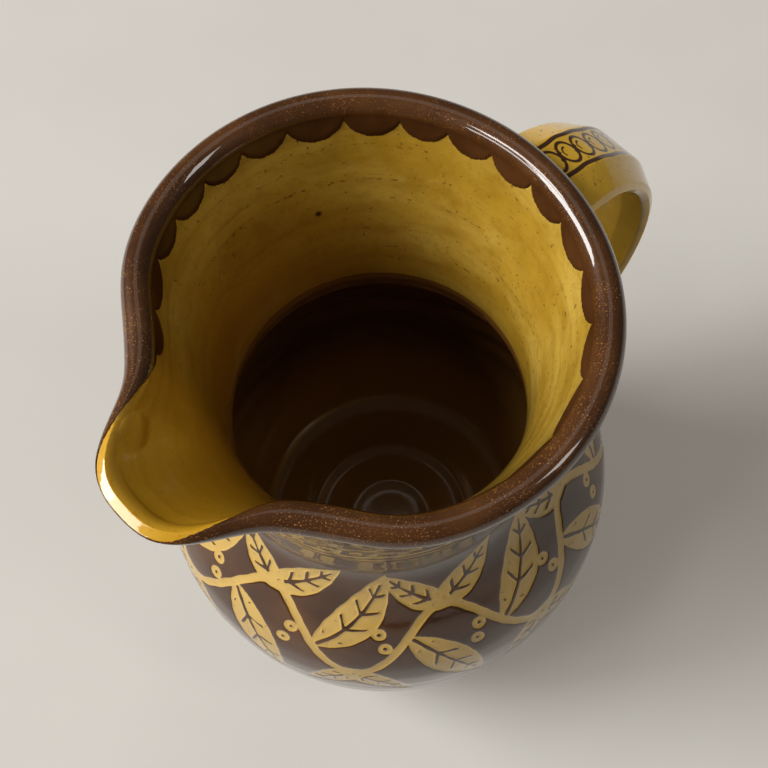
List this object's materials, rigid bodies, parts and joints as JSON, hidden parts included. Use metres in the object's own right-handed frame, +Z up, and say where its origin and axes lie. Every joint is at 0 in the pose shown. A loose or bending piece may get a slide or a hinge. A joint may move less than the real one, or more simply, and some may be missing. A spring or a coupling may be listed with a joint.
{
  "type": "pouring jug",
  "caption": "Round-bellied slipware jug with a flared neck, a pulled pouring lip, a strap handle, a dark scalloped slip band round the rim and ochre slip decoration",
  "frame": {"origin": "centre of the flat base, on the surface that the jug stands on", "axes": "+Z up; the pouring lip points along -X, the handle along +X"},
  "size_m": [0.1669, 0.129, 0.1697],
  "materials": {
    "dark_glaze": "glossy",
    "ochre_glaze": "glossy",
    "rim_glaze": "glossy"
  },
  "bodies": {
    "root": {"pot": "dark_glaze", "neck_slip": "ochre_glaze", "rim_slip": "rim_glaze", "handle": "ochre_glaze", "handle_lines": "rim_glaze"}
  },
  "joints": []
}
